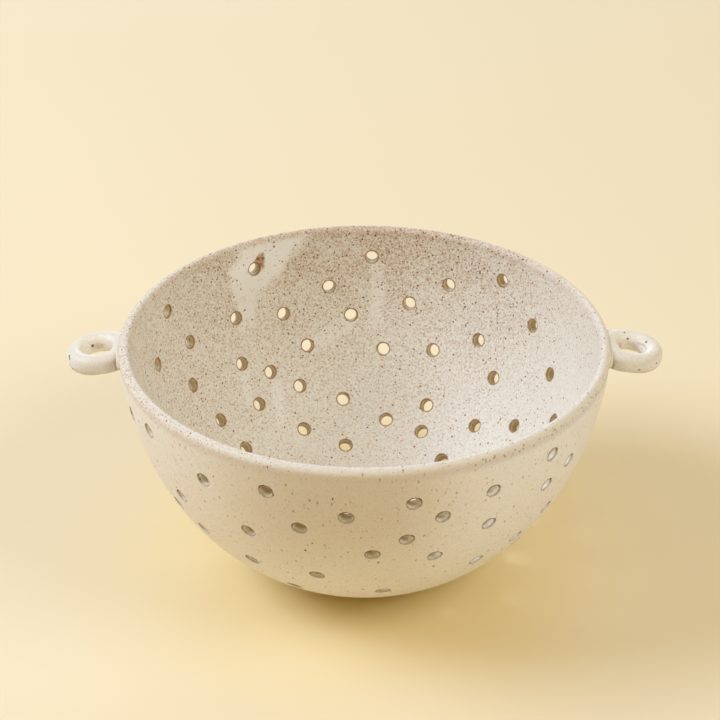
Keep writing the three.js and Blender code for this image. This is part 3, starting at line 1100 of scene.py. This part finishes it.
def bowl_zones(tree, effects, place):
    """Where the parts of the bowl's surface are, as masks by name, and its drop below the rim."""
    drop = drop_below_rim(tree, place)
    reach = mark(tree, "hole_reach")
    wall = mark(tree, "wall_reach")
    back = towards(tree, place, THIN_BEARING)
    clouds = noise(tree, place, CLOUD_GRAIN, ROUGH)
    inside = ramp(tree, wall, *INSIDE_REACH)
    lip = ramp(tree, drop, *LIP_DROP)
    within = calc(tree, "MAXIMUM", inside, lip)
    under_lip_shade = product(tree, ramp(tree, drop, *UNDER_LIP_START), ramp(tree, drop, *UNDER_LIP_END),
                        ramp(tree, wall, *UNDER_LIP_REACH))
    runs = product(tree, all_runs(tree, effects, place), inside)
    clear = inverse(tree, calc(tree, "MULTIPLY", runs, RUN_CLEARING))
    thin = product(tree, ramp(tree, back, *THIN_TURN), ramp(tree, drop, *THIN_DROP), within, clear,
                   ramp(tree, clouds, *THIN_CLOUDS))
    under_rim = product(tree, inside, ramp(tree, drop, *RIM_DUST_DROP))
    spread = calc(tree, "MAXIMUM", ramp(tree, towards(tree, place, DUST_BEARING), *DUST_TURN), under_rim)
    dusty = product(tree, spread, clear, ramp(tree, drop, *DUST_DROP), ramp(tree, clouds, *DUST_CLOUDS))
    behind = ramp(tree, back, *BACK_TURN)
    tube_back = product(tree, behind, ramp(tree, wall, *TUBE_BACK_REACH))
    return {
        "drop": drop, "reach": reach, "clouds": clouds, "inside": inside, "outside": inverse(tree, inside),
        "lip": lip, "under lip shade": under_lip_shade, "back lip": product(tree, lip, ramp(tree, back, *BACK_LIP_TURN)),
        "within": within, "runs": runs, "clear": clear, "thin": thin, "dusty": dusty, "behind": behind,
        "in hole": ramp(tree, reach, HOLE_EDGE / MM, HOLE_RADIUS / MM + TUBE_SLACK),
        "middle": calc(tree, "MAXIMUM", ramp(tree, wall, *TUBE_FRONT_REACH), tube_back),
        "deep": ramp(tree, wall, *TUBE_DEEP_REACH),
        "inner edge": ramp(tree, wall, *INNER_EDGE_REACH), "outer edge": ramp(tree, wall, *OUTER_EDGE_REACH),
    }


def outer_ground_and_painted_light(tree, place, zones, right):
    """The glaze's colour outside, with painted shade at the front and painted light at the right and low
    down.
    """
    # Painted shade at the front
    front = product(tree, ramp(tree, towards(tree, place, FRONT_BEARING), *FRONT_TURN),
                    ramp(tree, zones["drop"], *FRONT_DROP))
    # Painted light at the right and low down
    pale = calc(tree, "MAXIMUM", right, ramp(tree, zones["drop"], *LOW_DROP))
    return lay(tree, lay(tree, GLAZE_OUTSIDE, OUTSIDE_FRONT_PAINTED_SHADE, front), OUTSIDE_PAINTED_LIGHT, pale)


def tube_painted_shade_and_light(tree, zones):
    """Painted light and shade in the holes: pale painted light at their mouths, and khaki painted shade, warm
    from the paper's bounce, deeper in.
    """
    middle = lay(tree, TUBE_PAINTED_SHADE_FRONT, TUBE_PAINTED_SHADE_MIDDLE, zones["behind"])
    tube = lay(tree, PAINTED_LIGHT_IN_HOLES, middle, zones["middle"])
    return lay(tree, tube, TUBE_PAINTED_SHADE_DEEP, zones["deep"], zones["behind"])


def glaze_ground_and_painted_light(tree, place, zones):
    """The glaze's own colour without its specks, with painted shade at the front, under the lip and in the
    holes, and painted light at the right, low down outside and at the holes' mouths.
    """
    right = ramp(tree, towards(tree, place, RIGHT_BEARING), *RIGHT_TURN)
    inside = lay(tree, GLAZE_INSIDE, GLAZE_THICK, ramp(tree, zones["drop"], *FLOOR_DROP))
    colour = lay(tree, outer_ground_and_painted_light(tree, place, zones, right), inside, zones["inside"])
    colour = lay(tree, colour, GLAZE_LIP, zones["lip"])
    # Painted shade in a band under the lip, bluer at the right
    under_lip_shade = lay(tree, UNDER_LIP_PAINTED_SHADE, UNDER_LIP_PAINTED_SHADE_RIGHT, right)
    colour = lay(tree, colour, under_lip_shade, zones["under lip shade"], UNDER_LIP_SHADE_TINT)
    colour = lay(tree, colour, GLAZE_THIN, zones["back lip"], BACK_LIP_TINT)
    colour = lay(tree, colour, GLAZE_THIN, zones["thin"], THIN_TINT)
    colour = lay(tree, colour, GLAZE_THICK, zones["runs"], ramp(tree, zones["drop"], *RUN_FADE_DROP))
    plain = calc(tree, "MULTIPLY", zones["clear"], GRAIN_TINT)
    dust = product(tree, zones["dusty"], zones["within"])
    amount = calc(tree, "MULTIPLY_ADD", dust, DUSTY_GRAIN_TINT, plain)
    amount = calc(tree, "MULTIPLY_ADD", zones["thin"], THIN_GRAIN_TINT, amount)
    colour = lay(tree, colour, GLAZE_GRAIN, fine_grain(tree, place), amount)
    return lay(tree, colour, tube_painted_shade_and_light(tree, zones), zones["in hole"])


def inside_iron(tree, effects, place, zones, colour):
    """Dust, grit and spots of iron, densest where the glaze is thin and none in its runs, and one smear."""
    for spacing, size, dusty_share, thin_share, seed, tint, iron in INSIDE_SPECKS:
        extra = calc(tree, "MULTIPLY", zones["thin"], thin_share)
        share = calc(tree, "MULTIPLY_ADD", zones["dusty"], dusty_share, extra)
        specks = speck_mask(tree, effects, place, spacing, size, share, seed)
        colour = lay(tree, colour, iron, specks, zones["within"], tint)
    smear = product(tree, run_mask(tree, effects, place, IRON_SMEAR), zones["inside"])
    colour = lay(tree, colour, IRON_PALE, smear, SMEAR_TINT)
    patches = ramp(tree, noise(tree, place, SMEAR_GRAIN, ROUGH), *SMEAR_LEVELS)
    return lay(tree, colour, IRON_BROWN, smear, patches)


def outside_iron(tree, effects, place, zones, colour):
    """Sparse soft specks, drawn out down the wall, and a dark scatter under one stretch of the lip."""
    drawn_down = vector_calc(tree, "MULTIPLY", place, DRAWN_DOWN)
    for spacing, size, share, seed, tint, iron in OUTSIDE_SPECKS:
        specks = speck_mask(tree, effects, drawn_down, spacing, size, share, seed)
        colour = lay(tree, colour, iron, specks, zones["outside"], tint)
    along_lip = ramp(tree, towards(tree, place, LIP_IRON_BEARING), *LIP_IRON_TURN)
    stretch = product(tree, along_lip, zones["outside"], ramp(tree, zones["drop"], *LIP_IRON_START),
                      ramp(tree, zones["drop"], *LIP_IRON_END))
    spacing, size, share, seed = LIP_SPECKS
    scatter = speck_mask(tree, effects, place, spacing, size, calc(tree, "MULTIPLY", stretch, share), seed)
    return lay(tree, colour, IRON_BROWN, scatter, LIP_SPECK_TINT)


def hole_iron(tree, effects, place, zones, colour):
    """A rusty line round each hole inside, and a darker one outside that is weaker below the hole."""
    rise = mark(tree, "hole_rise")
    for edge, width, tint_below, iron in HOLE_RUST:
        rust = rust_mask(tree, effects, place, zones["reach"], HOLE_EDGE / MM + HOLE_RUST_OUT, width)
        colour = lay(tree, colour, iron, rust, zones[edge], ramp(tree, rise, *HOLE_RUST_RISE, tint_below, 1))
    return colour


def bowl_glaze(effects):
    """Off-white glaze, thin and brown under the lip at the back, with runs, specks and rusty hole edges, and
    painted light and shade outside and in the holes.
    """
    material, tree, shader = new_material("bowl_glaze")
    place = place_in_mm(tree)
    zones = bowl_zones(tree, effects, place)
    colour = glaze_ground_and_painted_light(tree, place, zones)
    colour = inside_iron(tree, effects, place, zones, colour)
    colour = outside_iron(tree, effects, place, zones, colour)
    colour = hole_iron(tree, effects, place, zones, colour)
    feed(tree, shader.inputs["Base Color"], colour)
    satin = calc(tree, "MULTIPLY_ADD", zones["clouds"], *BOWL_SATIN)
    feed(tree, shader.inputs["Roughness"], calc(tree, "MULTIPLY_ADD", zones["runs"], RUN_GLOSS, satin))
    skin = skin_height(tree, effects, place, *BOWL_SKIN)
    bump(tree, shader, calc(tree, "MULTIPLY_ADD", zones["runs"], RUN_SWELL, skin))
    return material


def ring_spot_places():
    """Where the iron spots on the rings lie, in millimetres, with their sizes."""
    places = []
    for side, drop, spots in zip((-1, 1), RING_DROPS, RING_SPOTS):
        for around, section, size in spots:
            turn, tilt = math.radians(around), math.radians(section)
            out = RING_RADIUS + RING_WIDTH / 2 * math.cos(tilt)
            local = Vector((out * math.cos(turn), out * math.sin(turn), RING_HEIGHT / 2 * math.sin(tilt)))
            places.append((ring_place(side, drop) @ local / MM, size))
    return places


def handle_spots(tree, effects, place):
    """The iron spots that are set one by one, and a thin scatter of others."""
    spots = speck_mask(tree, effects, place, *HANDLE_SPECKS)
    for centre, size in ring_spot_places():
        spot = place_group(tree, effects["spot"], Place=place, Centre=centre, Size=size)["Mask"]
        spots = calc(tree, "MAXIMUM", spots, spot)
    return spots


def handle_ground_and_painted_light(tree, place, drop, reach):
    """The rings' colour, with painted light on the right ring, a warmer top, painted shade on the underside
    and pale painted light in their holes.
    """
    right = ramp(tree, towards(tree, place, RIGHT_RING_BEARING), *RIGHT_RING_TURN)
    # Painted light on the right ring
    colour = lay(tree, GLAZE_HANDLE, HANDLE_RIGHT_PAINTED_LIGHT, right)
    colour = lay(tree, colour, GLAZE_HANDLE_TOP, ramp(tree, drop, *HANDLE_TOP_DROP))
    # Painted shade on the underside
    colour = lay(tree, colour, HANDLE_UNDERSIDE_PAINTED_SHADE, ramp(tree, drop, *HANDLE_SHADE_DROP))
    # Painted light on the inner side of the rings' holes
    inner = ramp(tree, reach, RING_RADIUS / MM, RING_BORE / MM + INNER_SIDE_SLACK, 0, HOLE_LIGHT_TINT)
    colour = lay(tree, colour, PAINTED_LIGHT_IN_HOLES, inner)
    clouds = noise(tree, place, HANDLE_CLOUD_GRAIN, ROUGH)
    colour = lay(tree, colour, GLAZE_OUTSIDE, ramp(tree, clouds, *HANDLE_CLOUDS))
    return lay(tree, colour, GLAZE_GRAIN, fine_grain(tree, place), HANDLE_GRAIN_TINT)


def handle_glaze(effects):
    """Smooth off-white glaze with iron spots, a brown line round the ring's hole and a dark root below: iron
    in the crease and painted shade spreading from the wall.
    """
    material, tree, shader = new_material("handle_glaze")
    place = place_in_mm(tree)
    drop = drop_below_rim(tree, place)
    wall = mark(tree, "wall_reach")
    reach = mark(tree, "hole_reach")
    colour = handle_ground_and_painted_light(tree, place, drop, reach)
    # Iron in the crease where the ring meets the wall, and painted shade spreading out from the wall, on the
    # lower side only
    joint = calc(tree, "MAXIMUM", ramp(tree, wall, *ROOT_REACH), ramp(tree, wall, *ROOT_SHADE_REACH))
    root = product(tree, joint, ramp(tree, drop, *ROOT_DROP))
    colour = lay(tree, colour, IRON_BROWN, root, ROOT_IRON_AND_SHADE_TINT)
    rust = rust_mask(tree, effects, place, reach, RING_BORE / MM - BORE_RUST_IN, BORE_RUST_WIDTH)
    colour = lay(tree, colour, IRON_BROWN, rust, BORE_RUST_TINT)
    spots = handle_spots(tree, effects, place)
    feed(tree, shader.inputs["Base Color"], lay(tree, colour, IRON_DARK, spots, SPOT_TINT))
    feed(tree, shader.inputs["Roughness"], calc(tree, "MULTIPLY_ADD", spots, *HANDLE_SATIN))
    bump(tree, shader, skin_height(tree, effects, place, *HANDLE_SKIN))
    return material


def slip_glaze(effects):
    """Glaze over slip that was worked on with a finger, thinner where it feathers out."""
    material, tree, shader = new_material("slip_glaze")
    place = place_in_mm(tree)
    thin = ramp(tree, mark(tree, "wall_reach"), *SLIP_THIN_REACH)
    streaks = noise(tree, vector_calc(tree, "MULTIPLY", place, SLIP_STRETCH), STREAK_GRAIN, ROUGH)
    colour = lay(tree, GLAZE_OUTSIDE, GLAZE_HANDLE_TOP, ramp(tree, streaks, *STREAK_LEVELS))
    colour = lay(tree, colour, GLAZE_THIN, thin, ramp(tree, streaks, *SLIP_THIN_LEVELS), SLIP_THIN_TINT)
    specks = speck_mask(tree, effects, place, *SLIP_SPECKS)
    feed(tree, shader.inputs["Base Color"], lay(tree, colour, IRON_BROWN, specks, SLIP_SPECK_TINT))
    feed(tree, shader.inputs["Roughness"], calc(tree, "MULTIPLY_ADD", streaks, *SLIP_SATIN))
    skin = skin_height(tree, effects, place, *SLIP_SKIN)
    bump(tree, shader, calc(tree, "MULTIPLY_ADD", streaks, STREAK_SWELL, skin))
    return material


def foot_clay(effects):
    """Bare stoneware, rough and grogged, with brown specks."""
    material, tree, shader = new_material("foot_clay")
    place = place_in_mm(tree)
    clouds = noise(tree, place, CLAY_CLOUD_GRAIN, CRAGGY)
    colour = lay(tree, CLAY_BARE, GLAZE_THIN, ramp(tree, clouds, *CLAY_CLOUDS))
    specks = speck_mask(tree, effects, place, *CLAY_SPECKS)
    feed(tree, shader.inputs["Base Color"], lay(tree, colour, IRON_BROWN, specks, CLAY_SPECK_TINT))
    feed(tree, shader.inputs["Roughness"], calc(tree, "MULTIPLY_ADD", clouds, *CLAY_MATT))
    sand = noise(tree, place, SAND_GRAIN, ROUGH)
    skin = skin_height(tree, effects, place, *CLAY_SKIN)
    bump(tree, shader, calc(tree, "MULTIPLY_ADD", sand, SAND_SWELL, skin))
    return material


def seen_rays(tree):
    """Whether a ray comes from the camera, straight or by way of a mirror or a clear thing."""
    path = add_node(tree, "ShaderNodeLightPath").outputs
    mirrored = calc(tree, "MAXIMUM", path["Is Glossy Ray"], path["Is Transmission Ray"])
    return calc(tree, "MAXIMUM", path["Is Camera Ray"], mirrored)


def paper_material():
    """Matt paper with the faintest grain, with a warm painted contact shadow close round the foot, fading
    into the background far off.
    """
    material, tree, shader = new_material("paper")
    place = place_in_mm(tree)
    away = vector_calc(tree, "LENGTH", place)
    grain = noise(tree, place, PAPER_GRAIN, ROUGH)
    # The paper's grain, and a warm painted contact shadow close round the foot
    warm = calc(tree, "MULTIPLY_ADD", grain, PAPER_GRAIN_TINT, ramp(tree, away, *CONTACT_SHADE_REACH))
    far = product(tree, ramp(tree, away, *PAPER_FAR_REACH), seen_rays(tree))
    near_colour = lay(tree, PAPER, PAPER_CONTACT_SHADE, warm)
    feed(tree, shader.inputs["Base Color"], lay(tree, near_colour, BLACK, far))
    feed(tree, shader.inputs["Emission Color"], lay(tree, BLACK, PAPER, far))
    shader.inputs["Emission Strength"].default_value = 1
    shader.inputs["Roughness"].default_value = PAPER_MATT
    shader.inputs["Specular IOR Level"].default_value = PAPER_SHINE
    return material


# Stage

def camera():
    rim = Vector((0, 0, BOWL_HEIGHT))
    back = Vector((0, -math.cos(CAMERA_ELEVATION), math.sin(CAMERA_ELEVATION)))
    data = bpy.data.cameras.new("camera")
    data.sensor_width = SENSOR_MM
    data.lens = SENSOR_MM * FOCAL_PIXELS / IMAGE_PIXELS
    data.clip_start = CLIP_START
    eye = bpy.data.objects.new("camera", data)
    eye.location = rim + CAMERA_DISTANCE * back
    right = math.atan((RIM_CENTRE_PIXEL[0] - IMAGE_PIXELS / 2) / FOCAL_PIXELS)
    above = math.atan((IMAGE_PIXELS / 2 - RIM_CENTRE_PIXEL[1]) / FOCAL_PIXELS)
    eye.rotation_euler = (math.pi / 2 - CAMERA_ELEVATION - above, 0, right)
    bpy.context.scene.collection.objects.link(eye)
    bpy.context.scene.camera = eye


def floor():
    mesh = bpy.data.meshes.new("floor")
    corners = [(x * FLOOR_HALF, y * FLOOR_HALF, 0) for x, y in ((-1, -1), (1, -1), (1, 1), (-1, 1))]
    mesh.from_pydata(corners, [], [(0, 1, 2, 3)])
    mesh.materials.append(paper_material())
    ground = bpy.data.objects.new("floor", mesh)
    bpy.context.scene.collection.objects.link(ground)


def lamp(name, bearing, elevation, watts, colour):
    """A square soft box on a dome round the bowl, aimed at it."""
    turn, rise = math.radians(bearing), math.radians(elevation)
    out = Vector((math.cos(turn) * math.cos(rise), math.sin(turn) * math.cos(rise), math.sin(rise)))
    data = bpy.data.lights.new(name, "AREA")
    data.size = LAMP_SIZE
    data.energy = watts
    data.color = colour
    box = bpy.data.objects.new(name, data)
    box.location = LAMP_AIM + out * LAMP_DISTANCE
    box.rotation_euler = out.to_track_quat("Z", "Y").to_euler()
    bpy.context.scene.collection.objects.link(box)


def studio():
    """Warm light from all round, which shows as paper, and the lamps."""
    world = bpy.data.worlds.new("studio")
    world.use_nodes = True
    tree = world.node_tree
    background = lay(tree, WORLD_LIGHT, PAPER, seen_rays(tree))
    feed(tree, tree.nodes["Background"].inputs["Color"], background)
    bpy.context.scene.world = world
    for row in LAMPS:
        lamp(*row)


def dress(piece, node):
    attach(piece, "root")
    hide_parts(node)


def clear_helpers():
    """Take away the profiles and blanks that the pieces were made from."""
    for thing in list(bpy.data.objects):
        if not thing.users_collection:
            bpy.data.objects.remove(thing)


def main():
    bpy.context.scene.view_settings.view_transform = "Standard"
    effects = shared_effects()
    turning = turning_group()
    ring_finish = handle_glaze(effects)
    slip_finish = slip_glaze(effects)
    dress(bowl_piece(turning, bowl_glaze(effects)), "bowl")
    wall = wall_body(turning)
    for side, word, drop, swells in zip((-1, 1), ("left", "right"), RING_DROPS, RING_SWELLS):
        ring, bead = handle_pieces(turning, side, drop, swells, word, wall, ring_finish, slip_finish)
        dress(ring, "handle_ring_" + word)
        dress(bead, "slip_bead_" + word)
    bpy.data.objects.remove(wall)
    foot = made_by_nodes("turned_foot", turned_piece_tree(turning), Segments=FOOT_SEGMENTS,
                         Profile=profile_object("foot_profile", foot_profile()), Finish=foot_clay(effects))
    dress(foot, "foot_ring")
    clear_helpers()
    floor()
    studio()
    camera()


main()
